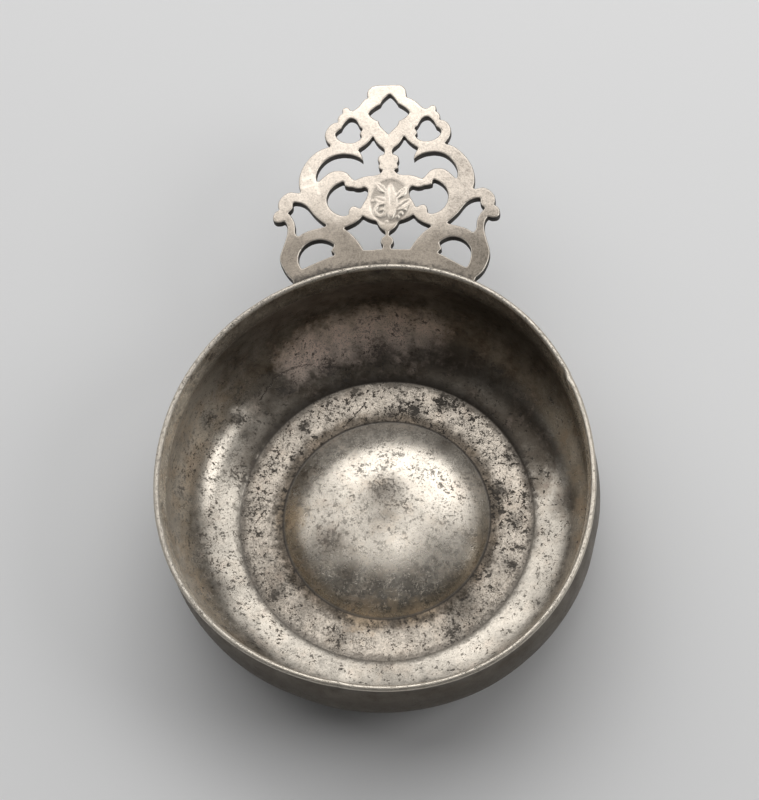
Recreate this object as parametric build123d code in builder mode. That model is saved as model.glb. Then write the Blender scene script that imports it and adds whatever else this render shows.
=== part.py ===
from build123d import *
from math import acos, asin, cos, degrees, radians, sin, sqrt
import os

os.makedirs("parts", exist_ok=True)

# A pewter porringer: a low bellied bowl with a domed bottom, and one flat pierced ear.
# Millimetres. The origin is on the bowl's axis, in the plane that the foot rests on.
# +Z is up and +Y points from the bowl's axis along the ear.

# The bowl
lip_radius = 66.7  # outer edge of the lip
lip_level = 43.2  # height of the middle of the lip's round bead
bead_radius = 0.95  # the bead round the lip
wall = 1.5  # the sheet's thickness in the collar, the belly, the booge and the dome
collar_height = 6.2  # from the neck up to the bead
collar_flare = 1.4  # how far the collar leans out over that height
belly_swell = 1.8  # how far the belly stands out beyond the neck
belly_level = 24.2  # height of the widest ring of the belly
crease_radius = 45.1  # where the gutter ends and the booge begins
crease_step = 0.5  # the small fold at that crease
floor_thickness = 1.8  # the flat gutter, which is also the foot
dome_radius = 31.8  # where the dome rises from the gutter
dome_rise = 6.0  # how high the dome stands over the gutter
dome_runout = 3.2  # how far the ellipse of the dome would run on outwards, past the dome's foot

# The ear
ear_length = 62.0  # from the lip to the tip of the ear
ear_half_width = 34.0  # from the centre line to the knobs at its sides
ear_thickness = 3.2
ear_drop = 2.9  # from the top of the lip down to the ear's top face
root_width_share = 0.76  # where the ear's sides run into the bowl, of its half width
root_depth = 1.2  # how far the ear's blank runs on past the wall's outer face

# The bracket below the ear
bracket_reach = 5.4  # from the wall out along the ear
bracket_height = 13.0  # from the ear down the wall
bracket_half_width = 7.2  # at the ear
bracket_tip_half_width = 3.0  # at its lower end
bracket_tip = 0.7  # its thickness on the belly at its lower end
bracket_hollow = 0.8  # how far its front face is drawn in between its ends

# The solder
seam_leg = 0.9  # height and width of the fillet of solder in each corner

# Each cut runs this far past what it cuts
overrun = 4.0

# The bowl's inner line, from its axis to the lip
dome_across = dome_radius + dome_runout
dome_upward = dome_rise / (1 - sqrt(1 - (dome_radius / dome_across) ** 2))
dome_centre_level = floor_thickness + dome_rise - dome_upward
dome_edge_angle = degrees(acos(dome_radius / dome_across))
lip_inner_radius = lip_radius - 2 * bead_radius
neck_radius = lip_inner_radius - collar_flare
neck_level = lip_level - collar_height
belly_radius = neck_radius + belly_swell
booge_start_radius = crease_radius + crease_step
booge_start_level = floor_thickness + crease_step
booge_run = belly_radius - booge_start_radius
booge_rise = belly_level - booge_start_level
shoulder_rise = neck_level - belly_level
shoulder_radius = (belly_swell**2 + shoulder_rise**2) / (2 * belly_swell)
shoulder_angle = degrees(asin(shoulder_rise / shoulder_radius))

# The bowl's outer line
hollow_across = dome_across - wall
hollow_upward = dome_upward - wall
hollow_edge_angle = degrees(asin(-dome_centre_level / hollow_upward))
hollow_edge_radius = hollow_across * cos(radians(hollow_edge_angle))
foot_radius = booge_start_radius
foot_top_level = booge_start_level - wall
shoulder_centre_radius = belly_radius - shoulder_radius
outer_shoulder_radius = shoulder_radius + wall
outer_neck_radius = shoulder_centre_radius + outer_shoulder_radius * cos(radians(shoulder_angle))
outer_neck_level = belly_level + outer_shoulder_radius * sin(radians(shoulder_angle))
outer_belly_radius = belly_radius + wall
bead_centre_radius = lip_radius - bead_radius
bowl_height = lip_level + bead_radius

# The ear's place on the bowl
ear_top_level = bowl_height - ear_drop
ear_bottom_level = ear_top_level - ear_thickness


def collar_radius_at(level):
    """Radius of the collar's outer face at a height above the neck."""
    climb = (level - outer_neck_level) / (lip_level - outer_neck_level)
    return outer_neck_radius + climb * (lip_inner_radius + wall - outer_neck_radius)


def draw_inner_line():
    """The face that shows inside the bowl, from the dome's top to the lip."""
    EllipticalCenterArc(
        (0, dome_centre_level), dome_across, dome_upward, 90, arc_size=dome_edge_angle - 90
    )
    Line((dome_radius, floor_thickness), (crease_radius, floor_thickness))
    Line((crease_radius, floor_thickness), (booge_start_radius, booge_start_level))
    EllipticalCenterArc((booge_start_radius, belly_level), booge_run, booge_rise, -90, arc_size=90)
    CenterArc((shoulder_centre_radius, belly_level), shoulder_radius, 0, shoulder_angle)
    Line((neck_radius, neck_level), (lip_inner_radius, lip_level))


def draw_outer_line():
    """The face that shows below and outside, from the foot's inner edge to the lip."""
    Line((hollow_edge_radius, 0), (foot_radius, 0))
    Line((foot_radius, 0), (foot_radius, foot_top_level))
    EllipticalCenterArc(
        (booge_start_radius, belly_level), booge_run + wall, booge_rise + wall, -90, arc_size=90
    )
    CenterArc((shoulder_centre_radius, belly_level), outer_shoulder_radius, 0, shoulder_angle)
    Line((outer_neck_radius, outer_neck_level), (lip_inner_radius + wall, lip_level))


# The bowl is cast in one piece and skimmed inside and out on a lathe
with BuildPart() as bowl:
    with BuildSketch(Plane.XZ):
        with BuildLine():
            draw_inner_line()
            Line((lip_inner_radius, lip_level), (lip_inner_radius + wall, lip_level))
            draw_outer_line()
            EllipticalCenterArc(
                (0, dome_centre_level), hollow_across, hollow_upward, 90, arc_size=hollow_edge_angle - 90
            )
            Line((0, dome_centre_level + hollow_upward), (0, dome_centre_level + dome_upward))
        make_face()
        with Locations((bead_centre_radius, lip_level)):
            Circle(bead_radius)
    revolve(axis=Axis.Z)
bowl.part.label = "bowl"
export_step(bowl.part, "parts/bowl.step")

# The bowl as a solid block, which trims whatever seats on its outer face
with BuildPart() as bowl_block:
    with BuildSketch(Plane.XZ):
        with BuildLine():
            draw_outer_line()
            Line((lip_inner_radius + wall, lip_level), (0, lip_level))
            Line((0, lip_level), (0, 0))
            Line((0, 0), (hollow_edge_radius, 0))
        make_face()
        with Locations((bead_centre_radius, lip_level)):
            Circle(bead_radius)
    revolve(axis=Axis.Z)

# Outlines of the ear, as shares of its half width and of its length beyond the lip.
# A row is one stretch between two corners, and starts where the row before it ends:
# one point draws a straight line, two draw an arc and three or more a smooth curve.
tip_start_share = (0, 1.004)
side_shares = [
    [(0.105, 1.004)],  # the flat tip
    [(0.158, 0.985), (0.166, 0.935)],
    [(0.205, 0.926), (0.24, 0.911), (0.29, 0.883), (0.33, 0.869), (0.362, 0.874)],
    [(0.398, 0.887), (0.418, 0.853)],  # the upper nub
    [(0.453, 0.842), (0.460, 0.805)],  # the lower nub
    [(0.505, 0.801), (0.548, 0.780), (0.569, 0.742), (0.550, 0.704), (0.506, 0.674)],
    [(0.600, 0.655), (0.690, 0.609), (0.755, 0.550), (0.780, 0.495), (0.763, 0.427)],
    [(0.800, 0.426), (0.850, 0.431), (0.910, 0.417), (0.957, 0.386), (0.952, 0.334)],
    [(0.988, 0.324), (1.008, 0.300), (0.996, 0.274), (0.955, 0.265), (0.905, 0.274)],
    [(0.878, 0.250), (0.872, 0.215), (0.886, 0.170), (0.913, 0.120), (0.930, 0.070),
     (0.916, 0.022), (0.875, -0.020), (0.812, -0.060)],  # the tail
]
hanging_hole_start_share = (0, 0.953)
hanging_hole_shares = [
    [(0.040, 0.931), (0.080, 0.897)],
    [(0.128, 0.881), (0.188, 0.850)],
    [(0.140, 0.820), (0.091, 0.806)],
    [(0.068, 0.774), (0.028, 0.751), (0, 0.730)],
]
eye_start_share = (0.232, 0.763)
eye_shares = [
    [(0.268, 0.780), (0.300, 0.812), (0.345, 0.823), (0.385, 0.810)],
    [(0.415, 0.789), (0.430, 0.768)],
    [(0.455, 0.759), (0.478, 0.744)],
    [(0.455, 0.714), (0.410, 0.697), (0.345, 0.690), (0.280, 0.700), (0.244, 0.722)],
    [(0.264, 0.737)],
    [(0.252, 0.752), (0.232, 0.763)],
]
crescent_start_share = (0.143, 0.727)
crescent_shares = [
    [(0.172, 0.697), (0.215, 0.674), (0.273, 0.652)],
    [(0.245, 0.627), (0.228, 0.590)],  # down to the horn
    [(0.290, 0.614), (0.400, 0.628), (0.500, 0.617), (0.575, 0.582), (0.620, 0.532), (0.617, 0.480)],
    [(0.560, 0.513), (0.505, 0.536), (0.440, 0.541), (0.370, 0.525), (0.330, 0.498), (0.303, 0.487)],
    [(0.260, 0.498), (0.200, 0.508), (0.110, 0.512), (0.052, 0.538)],  # over the shield
    [(0.084, 0.546), (0.073, 0.572)],  # two turned rings on the upper stem
    [(0.096, 0.592), (0.080, 0.617)],
    [(0.042, 0.624)],
    [(0.036, 0.640), (0.046, 0.655)],
    [(0.100, 0.682), (0.143, 0.727)],
]
inner_scroll_start_share = (0.402, 0.481)
inner_scroll_shares = [
    [(0.462, 0.465), (0.518, 0.432), (0.540, 0.383), (0.512, 0.336), (0.445, 0.304), (0.388, 0.297),
     (0.352, 0.306)],
    [(0.350, 0.332), (0.318, 0.348), (0.282, 0.342), (0.248, 0.333)],
    [(0.218, 0.369), (0.188, 0.408), (0.192, 0.436), (0.222, 0.446)],
    [(0.272, 0.438), (0.320, 0.446)],
    [(0.360, 0.448), (0.397, 0.455)],
    [(0.402, 0.481)],
]
outer_scroll_start_share = (0.835, 0.371)
outer_scroll_shares = [
    [(0.768, 0.369), (0.700, 0.346), (0.650, 0.309), (0.592, 0.273), (0.530, 0.244)],
    [(0.600, 0.233), (0.685, 0.219), (0.768, 0.191)],
    [(0.793, 0.205), (0.800, 0.245), (0.828, 0.288), (0.875, 0.320)],
    [(0.838, 0.336), (0.835, 0.371)],
]
root_hole_start_share = (0.733, 0.003)
root_hole_shares = [
    [(0.762, 0.055), (0.735, 0.120), (0.665, 0.157), (0.575, 0.168), (0.505, 0.155), (0.470, 0.140)],
    [(0.494, 0.108)],
    [(0.458, 0.086)],
    [(0.733, 0.003)],
]
heart_start_share = (0.230, 0.293)
heart_shares = [
    [(0.262, 0.270), (0.320, 0.248), (0.396, 0.230)],
    [(0.325, 0.199), (0.255, 0.154), (0.206, 0.107)],
    [(0.040, 0.110)],
    [(0.035, 0.130)],
    [(0.058, 0.152), (0.018, 0.184)],  # the ball on the lower stem
    [(0.018, 0.205)],
    [(0.060, 0.222), (0.100, 0.262)],  # under the shield
    [(0.170, 0.273), (0.230, 0.293)],
]


def ear_point(shares, side):
    """A point of the ear's outline on one side of its centre line."""
    across_share, along_share = shares
    return (side * across_share * ear_half_width, lip_radius + along_share * ear_length)


def draw_stretches(start_share, stretch_shares, side=1):
    """Draw an outline from corner to corner and give back its last point."""
    corner = ear_point(start_share, side)
    for stretch in stretch_shares:
        points = [corner] + [ear_point(shares, side) for shares in stretch]
        if len(points) == 2:
            Line(*points)
        elif len(points) == 3:
            ThreePointArc(*points)
        else:
            Spline(*points)
        corner = points[-1]
    return corner


# The root lies inside the bowl's wall, which trims it to a seat
root_half_width = root_width_share * ear_half_width
root_radius = collar_radius_at(ear_bottom_level) - root_depth
root_corner = (root_half_width, sqrt(root_radius**2 - root_half_width**2))


def draw_ear_blank():
    """The ear's outer outline, closed across its root."""
    tail_end = draw_stretches(tip_start_share, side_shares)
    Line(tail_end, root_corner)
    Line(root_corner, (0, root_corner[1]))
    mirror(about=Plane.YZ)


# The ear is a flat casting, pierced through, that seats on the collar below the lip
with BuildPart() as ear:
    with BuildSketch(Plane.XY.offset(ear_bottom_level)):
        with BuildLine():
            draw_ear_blank()
        make_face()
        with BuildLine():
            draw_stretches(hanging_hole_start_share, hanging_hole_shares)
            mirror(about=Plane.YZ)
        make_face(mode=Mode.SUBTRACT)
        for side in (1, -1):
            for start_share, stretch_shares in (
                (eye_start_share, eye_shares),
                (crescent_start_share, crescent_shares),
                (inner_scroll_start_share, inner_scroll_shares),
                (outer_scroll_start_share, outer_scroll_shares),
                (root_hole_start_share, root_hole_shares),
                (heart_start_share, heart_shares),
            ):
                with BuildLine():
                    draw_stretches(start_share, stretch_shares, side)
                make_face(mode=Mode.SUBTRACT)
    extrude(amount=ear_thickness)
    add(bowl_block.part, mode=Mode.SUBTRACT)
ear.part.label = "ear"
export_step(ear.part, "parts/ear.step")

# The bracket is a small tapered tongue that carries the ear from below
bracket_root_radius = collar_radius_at(ear_bottom_level)
bracket_toe_level = ear_bottom_level - bracket_height
bracket_toe_radius = outer_belly_radius + bracket_tip
bracket_nose_radius = bracket_root_radius + bracket_reach
bracket_face_radius = (bracket_nose_radius + bracket_toe_radius) / 2 - bracket_hollow
with BuildPart() as ear_bracket:
    with BuildSketch(Plane.YZ):
        with BuildLine():
            Line((neck_radius, ear_bottom_level), (bracket_nose_radius, ear_bottom_level))
            ThreePointArc(
                (bracket_nose_radius, ear_bottom_level),
                (bracket_face_radius, (ear_bottom_level + bracket_toe_level) / 2),
                (bracket_toe_radius, bracket_toe_level),
            )
            Line((bracket_toe_radius, bracket_toe_level), (neck_radius, bracket_toe_level))
            Line((neck_radius, bracket_toe_level), (neck_radius, ear_bottom_level))
        make_face()
    extrude(amount=bracket_half_width, both=True)
    with BuildSketch(Plane.XZ):
        with BuildLine():
            Line((0, ear_bottom_level), (bracket_half_width, ear_bottom_level))
            Line(
                (bracket_half_width, ear_bottom_level),
                (bracket_tip_half_width, bracket_toe_level + bracket_tip_half_width),
            )
            RadiusArc(
                (bracket_tip_half_width, bracket_toe_level + bracket_tip_half_width),
                (0, bracket_toe_level),
                bracket_tip_half_width,
            )
            mirror(about=Plane.YZ)
        make_face()
    extrude(amount=-(bracket_nose_radius + overrun), mode=Mode.INTERSECT)
    add(bowl_block.part, mode=Mode.SUBTRACT)
ear_bracket.part.label = "ear_bracket"
export_step(ear_bracket.part, "parts/ear_bracket.step")


# Solder fills the corners where the ear meets the collar, above and below it
with BuildPart() as seam_solder:
    with BuildSketch(Plane.XZ):
        for level, rise in ((ear_top_level, seam_leg), (ear_bottom_level, -seam_leg)):
            reach_radius = collar_radius_at(level) + seam_leg
            with Locations(((neck_radius + reach_radius) / 2, level + rise / 2)):
                Rectangle(reach_radius - neck_radius, seam_leg)
            with Locations((reach_radius, level + rise)):
                Circle(seam_leg, mode=Mode.SUBTRACT)
    revolve(axis=Axis.Z)
    with BuildSketch(Plane.XY.offset(ear_bottom_level - overrun)):
        with BuildLine():
            draw_ear_blank()
        make_face()
    extrude(amount=ear_thickness + 2 * overrun, mode=Mode.INTERSECT)
    add(bowl_block.part, mode=Mode.SUBTRACT)
    add(ear_bracket.part, mode=Mode.SUBTRACT)
seam_solder.part.label = "seam_solder"
export_step(seam_solder.part, "parts/seam_solder.step")
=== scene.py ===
# %% [markdown]
# # A pewter porringer
#
# A porringer is a low bellied bowl with one flat pierced ear, cast in pewter. The bowl is
# skimmed on a lathe, the ear is cast apart from it and burned on below the lip.
# The solids that carry the part come first, as a frame that doesn't move. Everything below
# dresses that frame: rounder edges, the unevenness of an old bowl, and the pewter's skin.

from math import acos, asin, atan2, cos, degrees, exp, hypot, pi, radians, sin, sqrt

import bmesh
import bpy
import numpy as np
from mathutils import Matrix, Vector, noise


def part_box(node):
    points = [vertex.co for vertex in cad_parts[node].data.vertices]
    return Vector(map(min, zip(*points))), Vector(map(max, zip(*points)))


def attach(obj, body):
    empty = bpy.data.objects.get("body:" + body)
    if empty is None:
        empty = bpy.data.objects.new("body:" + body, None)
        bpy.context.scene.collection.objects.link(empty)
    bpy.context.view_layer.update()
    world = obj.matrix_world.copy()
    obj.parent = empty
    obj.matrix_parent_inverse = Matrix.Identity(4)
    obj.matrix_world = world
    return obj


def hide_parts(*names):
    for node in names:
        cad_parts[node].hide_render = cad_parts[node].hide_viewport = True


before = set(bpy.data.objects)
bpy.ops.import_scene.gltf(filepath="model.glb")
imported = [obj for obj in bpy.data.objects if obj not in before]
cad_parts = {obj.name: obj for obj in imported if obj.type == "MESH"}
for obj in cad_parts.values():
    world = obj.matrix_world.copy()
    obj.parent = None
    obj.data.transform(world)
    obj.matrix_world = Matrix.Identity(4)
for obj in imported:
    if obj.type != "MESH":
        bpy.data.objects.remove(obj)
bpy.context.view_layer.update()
mm = 0.001
print("nodes:", ", ".join(sorted(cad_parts)))

# %% [markdown]
# ## The camera
#
# A museum picture of a bowl is taken from high above its front with a long lens, so that the
# inside shows and the circles stay nearly round. The camera is set by its direction from the
# bowl, its distance and its tilt. Its place could also be typed in as three numbers, but a
# direction says more: it can be read as so many degrees round and so many degrees up.

# %% The camera's place
lip_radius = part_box("bowl")[1].x
bowl_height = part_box("bowl")[1].z
bead_radius = 0.95 * mm
lip_level = bowl_height - bead_radius

camera_azimuth = radians(13.93)
camera_elevation = radians(68.91)
camera_roll = radians(-12.9)
camera_distance = 1.0
camera_aside = 1.11 * mm
camera_above = 22.25 * mm
lens_mm = 151.85

toward = Vector((
    sin(camera_azimuth) * cos(camera_elevation),
    -cos(camera_azimuth) * cos(camera_elevation),
    sin(camera_elevation),
))
level_right = Vector((cos(camera_azimuth), sin(camera_azimuth), 0))
right = Matrix.Rotation(camera_roll, 3, toward) @ level_right
up = toward.cross(right)
place = toward * camera_distance + right * camera_aside + up * camera_above
place.z += lip_level

lens = bpy.data.cameras.new("camera")
lens.lens = lens_mm
lens.sensor_width = 36
camera = bpy.data.objects.new("camera", lens)
camera.matrix_world = Matrix.Translation(place) @ Matrix((right, up, toward)).transposed().to_4x4()
bpy.context.scene.collection.objects.link(camera)
bpy.context.scene.camera = camera
print("camera at", [round(value, 3) for value in place])

# %% [markdown]
# ## The bowl's section
#
# Whatever is turned on a lathe is one line going round an axis. The line here runs from the
# top of the dome out over the gutter, up the booge and the belly to the lip, over the bead
# and back down outside to the hollow below the dome. Its arcs follow the same sizes
# as the solid bowl. A section could be drawn by hand as a curve, but arcs with named sizes
# keep to the solid exactly.

# %% Sizes of the section
wall = 1.5 * mm
neck_radius = 63.4 * mm
neck_level = 37.0 * mm
belly_radius = 65.2 * mm
belly_level = 24.2 * mm
crease_radius = 45.1 * mm
crease_step = 0.5 * mm
floor_thickness = 1.8 * mm
dome_radius = 31.8 * mm
dome_rise = 6.0 * mm
dome_runout = 3.2 * mm
booge_fill = 0.7 * mm
booge_fill_reach = 4.2 * mm
bead_sweep = 242

bead_centre = (lip_radius - bead_radius, lip_level)
bead_end = radians(180 - bead_sweep)
bead_foot = (bead_centre[0] + bead_radius * cos(bead_end), lip_level + bead_radius * sin(bead_end))
lip_inner_radius = lip_radius - 2 * bead_radius
dome_across = dome_radius + dome_runout
dome_upward = dome_rise / (1 - sqrt(1 - (dome_radius / dome_across) ** 2))
dome_centre_level = floor_thickness + dome_rise - dome_upward
dome_edge_angle = degrees(acos(dome_radius / dome_across))
foot_radius = crease_radius + crease_step
foot_step_level = floor_thickness + crease_step - wall
booge_run = belly_radius - foot_radius
booge_rise = belly_level - floor_thickness - crease_step
shoulder_rise = neck_level - belly_level
belly_swell = belly_radius - neck_radius
shoulder_radius = (belly_swell**2 + shoulder_rise**2) / (2 * belly_swell)
shoulder_angle = degrees(asin(shoulder_rise / shoulder_radius))
shoulder_centre = (belly_radius - shoulder_radius, belly_level)
hollow_across = dome_across - wall
hollow_upward = dome_upward - wall
hollow_edge_angle = degrees(asin(-dome_centre_level / hollow_upward))
hollow_edge_radius = hollow_across * cos(radians(hollow_edge_angle))
print("dome", round(dome_upward / mm, 2), "shoulder", round(shoulder_radius / mm, 2))

# %% Lines and arcs of the section
section_step = 0.12 * mm


def along_line(start, end):
    """Points from one end of a straight stretch to the other."""
    count = max(2, round(hypot(end[0] - start[0], end[1] - start[1]) / section_step))
    return [
        (start[0] + (end[0] - start[0]) * i / count, start[1] + (end[1] - start[1]) * i / count)
        for i in range(count)
    ]


def along_arc(centre, across, upward, start, sweep):
    """Points along an arc, or along a part of an ellipse, by angles in degrees."""
    count = max(2, round(abs(radians(sweep)) * max(across, upward) / section_step))
    angles = [radians(start + sweep * i / count) for i in range(count)]
    return [(centre[0] + across * cos(angle), centre[1] + upward * sin(angle)) for angle in angles]


print("bead:", len(along_arc(bead_centre, bead_radius, bead_radius, 180, -bead_sweep)), "points")

# %% The lines inside and outside
def fill_at(radius):
    """How much higher the booge's inner line lies at a radius, just outside the crease."""
    share = (radius - foot_radius) / booge_fill_reach
    return booge_fill * share * exp(1 - share)


def filled(points):
    """The booge's inner line with that little more metal."""
    return [(radius, height + fill_at(radius)) for radius, height in points]


def inner_line():
    """The face inside the bowl, from the dome's top to the bead."""
    dome = (0, dome_centre_level)
    booge = (foot_radius, belly_level)
    return (
        along_arc(dome, dome_across, dome_upward, 90, dome_edge_angle - 90)
        + along_line((dome_radius, floor_thickness), (crease_radius, floor_thickness))
        + along_line((crease_radius, floor_thickness), (foot_radius, floor_thickness + crease_step))
        + filled(along_arc(booge, booge_run, booge_rise, -90, 90))
        + along_arc(shoulder_centre, shoulder_radius, shoulder_radius, 0, shoulder_angle)
        + along_line((neck_radius, neck_level), (lip_inner_radius, lip_level))
    )


def outer_line():
    """The bead, the face outside and the hollow, down to the axis below the dome."""
    outer_shoulder = shoulder_radius + wall
    neck_outside = (
        shoulder_centre[0] + outer_shoulder * cos(radians(shoulder_angle)),
        shoulder_centre[1] + outer_shoulder * sin(radians(shoulder_angle)),
    )
    booge = (foot_radius, belly_level)
    hollow = (0, dome_centre_level)
    return (
        along_arc(bead_centre, bead_radius, bead_radius, 180, -bead_sweep)
        + along_line(bead_foot, neck_outside)
        + along_arc(shoulder_centre, outer_shoulder, outer_shoulder, shoulder_angle, -shoulder_angle)
        + along_arc(booge, booge_run + wall, booge_rise + wall, 0, -90)
        + along_line((foot_radius, foot_step_level), (foot_radius, 0))
        + along_line((foot_radius, 0), (hollow_edge_radius, 0))
        + along_arc(hollow, hollow_across, hollow_upward, hollow_edge_angle, 90 - hollow_edge_angle)
    )


sharp_section = np.array(inner_line() + outer_line())
print("section:", len(sharp_section), "points")

# %% [markdown]
# ## Worn corners
#
# On old pewter no corner is sharp: handling and scouring have rounded the lip, the neck and
# the foot. The section is softened as a whole, by averaging each point with its neighbours,
# which rounds a corner and leaves the long arcs where they are. A bevel on the finished bowl
# would do the same, but it needs every corner to be picked out. Afterwards the points are
# thinned where the line runs straight, so that the mesh is fine only where it bends.

# %% Soften and thin the section
corner_softness = 0.3 * mm
neck_softness = 1.8 * mm
longest_step = 0.75 * mm
sharpest_turn = radians(5)

# From where to where above and below the neck its own softness fades out
neck_fade = (2.5 * mm, 4.8 * mm)


def smooth_share(value, low, high):
    """0 below low, 1 above high and a smooth climb between them."""
    share = np.clip((value - low) / (high - low), 0, 1)
    return share * share * (3 - 2 * share)


def soften(points, softness, step):
    """The line with its corners rounded. Its two ends stay on the axis."""
    reach = int(3 * softness / step) + 1
    weights = np.exp(-0.5 * (np.arange(-reach, reach + 1) * step / softness) ** 2)
    weights /= weights.sum()
    mirrored = points * np.array([-1, 1])
    padded = np.vstack([mirrored[reach:0:-1], points, mirrored[-2:-reach - 2:-1]])
    return np.stack([np.convolve(padded[:, axis], weights, mode="valid") for axis in (0, 1)], axis=1)


def thin(points):
    """Keep a point where the line has turned or run on far enough since the last one kept."""
    kept = [0]
    for i in range(1, len(points) - 1):
        come = points[kept[-1] + 1] - points[kept[-1]]
        go = points[i + 1] - points[i]
        turn = abs(atan2(come[0] * go[1] - come[1] * go[0], come[0] * go[0] + come[1] * go[1]))
        run = np.linalg.norm(points[i] - points[kept[-1]])
        if turn > sharpest_turn or run > longest_step:
            kept.append(i)
    return points[kept + [len(points) - 1]]


section_ends = np.array([[0, dome_centre_level + hollow_upward]])
whole_section = np.vstack([sharp_section, section_ends])
soft_section = soften(whole_section, corner_softness, section_step)
softer_section = soften(whole_section, neck_softness, section_step)
near_neck = 1 - smooth_share(abs(soft_section[:, 1] - neck_level), *neck_fade)
soft_section += (softer_section - soft_section) * near_neck[:, None]
section = thin(soft_section)
print("section kept:", len(section), "points")

# %% [markdown]
# ## Out of round
#
# The bowl has been knocked about: seen from above its lip wanders more than a millimetre in
# and out of the true circle. A few waves round the rim say that well. The same push fades to
# nothing at the foot, as thin sheet bends at its free edge. Small dents are bumps of a
# smooth bell shape, pushed into both faces alike. A lattice would bend the whole bowl as
# well, but the waves can also be asked how far they push at any place, which is needed
# later, when the ear and the marks have to follow the wall.

# %% How the bowl leaves the circle
# Each wave: how many times it goes round, and its cosine and sine parts in millimetres
rim_waves = [
    (1, 0.0, 0.23),
    (2, -0.58, -0.25),
    (3, -0.70, -0.53),
    (4, -0.31, 0.0),
    (5, 0.17, 0.0),
]
rim_swell = 0.12

# Each dent: degrees round from +X, height, reach and depth, positive where it goes inwards
dents_mm = [
    (146, 7.2, 2.0, 0.30),
    (150, 10.5, 5.0, 0.30),
    (139, 17, 8.0, 0.35),
    (110, 14, 9.0, 0.40),
    (84, 10, 7.0, -0.30),
    (205, 15, 9.0, 0.30),
    (250, 20, 10.0, 0.35),
    (300, 12, 9.0, -0.30),
    (348, 22, 7.0, 0.40),
    (28, 43.6, 1.6, 0.45),
    (31, 43.8, 1.2, -0.25),
    (196, 43.9, 1.5, 0.30),
    (262, 43.8, 2.2, 0.28),
]


def rim_push(angle):
    """How far the lip stands out of the true circle at an angle round it."""
    push = rim_swell
    for times, cosine, sine in rim_waves:
        push = push + cosine * np.cos(times * angle) + sine * np.sin(times * angle)
    return push * mm


def wall_push(angle, height):
    """How far the wall stands out of the true circle, full at the lip and none at the foot."""
    return rim_push(angle) * smooth_share(height, 3 * mm, lip_level)


print("lip push:", round(float(rim_push(radians(90))) / mm, 2), "mm at the ear")

# %% [markdown]
# ## Turning the bowl
#
# The section goes round the axis in many equal steps, and each ring of corners is joined to
# the next by four-sided faces. Blender's Spin and Screw tools would do that too. Here each
# corner is worked out in code, because every one is then pushed out of round, dented and
# roughened by a little noise, and that is easiest on plain arrays of numbers. A dent high in
# the wall is pushed straight inwards, and a low one upwards as well, as the booge faces up.

# %% Turn the section
bowl_steps = 480


def turn_section(line, steps):
    """Corners and faces of a line turned about Z, whose two ends lie on the axis."""
    angles = np.arange(steps) * 2 * pi / steps
    rings = line[1:-1]
    radius = np.repeat(rings[:, 0], steps)
    height = np.repeat(rings[:, 1], steps)
    angle = np.tile(angles, len(rings))
    corners = np.stack([radius * np.cos(angle), radius * np.sin(angle), height], axis=1)
    ends = np.array([[0, 0, line[0][1]], [0, 0, line[-1][1]]])
    faces = []
    for ring in range(len(rings) - 1):
        for step in range(steps):
            beside = (step + 1) % steps
            low, high = ring * steps, (ring + 1) * steps
            faces.append((low + step, high + step, high + beside, low + beside))
    first, last = len(corners), len(corners) + 1
    bottom = (len(rings) - 1) * steps
    for step in range(steps):
        beside = (step + 1) % steps
        faces.append((first, step, beside))
        faces.append((last, bottom + beside, bottom + step))
    return np.vstack([corners, ends]), faces


bowl_corners, bowl_faces = turn_section(section, bowl_steps)
print("turned:", len(bowl_corners), "corners and", len(bowl_faces), "faces")

# %% Push, dent and roughen
skin_noise = 0.035 * mm
skin_noise_size = 11 * mm
low_dent_mm = 20


def ripple(point, size, seed):
    """Smooth noise between about -1 and 1, over lengths of about one size."""
    return noise.noise(Vector(point) / size + Vector((seed, 2 * seed, 3 * seed)))


def around(corners):
    """For each corner its angle round the axis, its radius and the way straight out."""
    angle = np.arctan2(corners[:, 1], corners[:, 0])
    radius = np.hypot(corners[:, 0], corners[:, 1])
    out = np.stack([np.cos(angle), np.sin(angle), np.zeros(len(angle))], axis=1)
    return angle, radius, out


def inner_radius_at(height):
    """Radius of the inner face of the wall at a height above the foot."""
    if height < belly_level:
        share = (belly_level - height) / booge_rise
        return foot_radius + booge_run * sqrt(max(0, 1 - share**2))
    if height < neck_level:
        return shoulder_centre[0] + sqrt(shoulder_radius**2 - (height - belly_level) ** 2)
    share = (height - neck_level) / (lip_level - neck_level)
    return neck_radius + (lip_inner_radius - neck_radius) * share


def knock_about(corners):
    """Push the bowl out of round and into its dents, and roughen it a little."""
    angle, radius, out = around(corners)
    push = wall_push(angle, corners[:, 2]) * np.clip(radius / neck_radius, 0, 1)
    moved = corners + out * push[:, None]
    for degrees_round, level_mm, reach_mm, depth_mm in dents_mm:
        turn = radians(degrees_round)
        middle = np.array([cos(turn), sin(turn), 0]) * inner_radius_at(level_mm * mm)
        middle[2] = level_mm * mm
        away = np.linalg.norm(corners - middle, axis=1) / (reach_mm * mm)
        tilt = np.array([cos(turn), sin(turn), -1.0 if level_mm < low_dent_mm else 0.0])
        tilt /= np.linalg.norm(tilt)
        moved -= tilt * (depth_mm * mm * np.exp(-away**2))[:, None]
    for i, corner in enumerate(corners):
        moved[i] += Vector(corner).normalized() * skin_noise * ripple(corner, skin_noise_size, 7)
    return moved


bowl_corners = knock_about(bowl_corners)
print("widest at", round(float(around(bowl_corners)[1].max()) / mm, 2), "mm from the axis")

# %% Make the bowl's mesh
def make_piece(name, corners, faces):
    """A mesh object from corners and faces, smooth all over."""
    mesh = bpy.data.meshes.new(name)
    mesh.from_pydata([tuple(corner) for corner in corners], [], faces)
    mesh.validate()
    mesh.shade_smooth()
    piece = bpy.data.objects.new(name, mesh)
    bpy.context.scene.collection.objects.link(piece)
    return piece


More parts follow.
